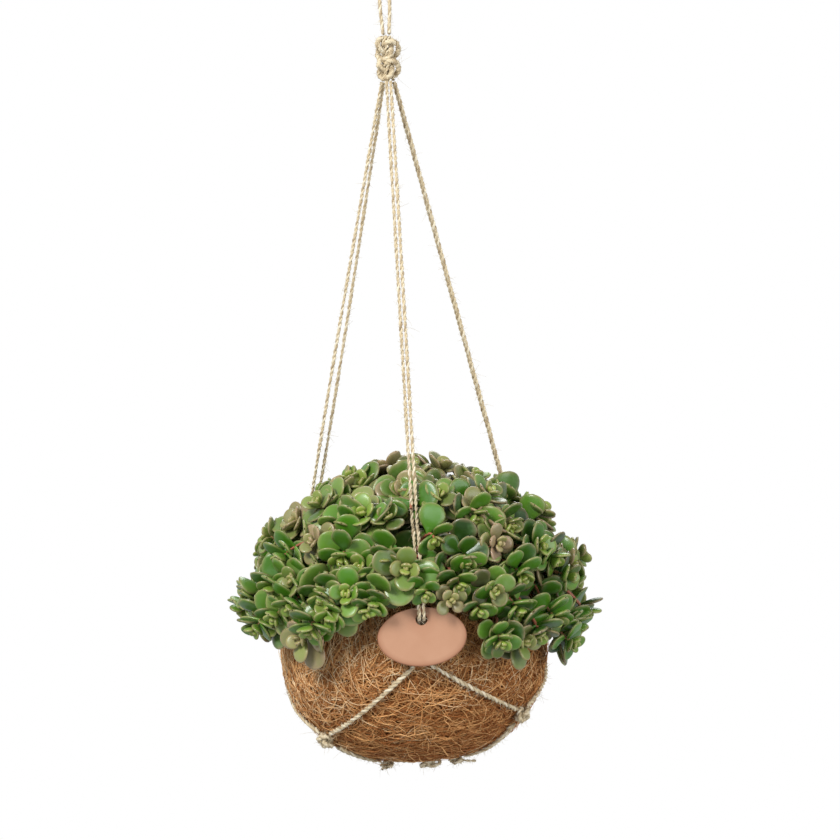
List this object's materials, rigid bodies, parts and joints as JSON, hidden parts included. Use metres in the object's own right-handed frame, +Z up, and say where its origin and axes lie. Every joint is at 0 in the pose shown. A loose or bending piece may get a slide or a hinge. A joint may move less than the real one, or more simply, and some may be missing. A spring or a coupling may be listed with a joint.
{
  "type": "hanging kokedama plant",
  "caption": "Trailing round-leaved succulent in a coir fibre ball, carried in a knotted jute twine net with a hanging loop and a plain oval leather tag.",
  "frame": {"origin": "inside top of the hanging loop, where a hook bears", "axes": "+Z up along the hanging line; the tag and the fullest foliage face -Y"},
  "size_m": [0.214, 0.204, 0.483],
  "materials": {
    "coir": "rough fibre",
    "soil": "damp compost",
    "jute": "hairy twine",
    "leather": "smooth vegetable tan",
    "plant": "waxy succulent leaf"
  },
  "bodies": {
    "root": {"coir_ball": "coir", "potting_soil": "soil", "leather_tag": "leather", "loop_strand_1": "jute", "loop_strand_2": "jute", "loop_strand_3": "jute", "top_knot": "jute", "front_leg_strand_1": "jute", "front_leg_strand_2": "jute", "right_leg_strand_1": "jute", "right_leg_strand_2": "jute", "left_leg_strand_1": "jute", "left_leg_strand_2": "jute", "front_upper_knot": "jute", "right_upper_knot": "jute", "left_upper_knot": "jute", "right_lower_knot": "jute", "left_lower_knot": "jute", "back_lower_knot": "jute", "front_arm_to_left_knot": "jute", "front_arm_to_right_knot": "jute", "right_arm_to_right_knot": "jute", "right_arm_to_back_knot": "jute", "left_arm_to_left_knot": "jute", "left_arm_to_back_knot": "jute", "right_under_strand_1": "jute", "right_under_strand_2": "jute", "left_under_strand_1": "jute", "left_under_strand_2": "jute", "back_under_strand_1": "jute", "back_under_strand_2": "jute", "right_bottom_knot": "jute", "left_bottom_knot": "jute", "back_bottom_knot": "jute", "bottom_ring": "jute", "bottom_ring_knot": "jute", "centre_front_shoot": "plant", "right_front_shoot": "plant", "right_side_shoot": "plant", "right_spread_shoot": "plant", "right_low_shoot": "plant", "front_right_low_shoot": "plant", "front_top_shoot": "plant", "left_front_shoot": "plant", "left_spread_shoot": "plant", "left_bud_shoot": "plant", "left_top_shoot": "plant", "crown_shoot": "plant", "left_side_shoot": "plant", "left_back_low_shoot": "plant", "left_back_shoot": "plant", "back_left_low_shoot": "plant", "back_shoot": "plant", "back_right_low_shoot": "plant", "right_back_shoot": "plant", "right_back_low_shoot": "plant", "right_top_shoot": "plant", "left_crown_shoot": "plant"}
  },
  "joints": []
}
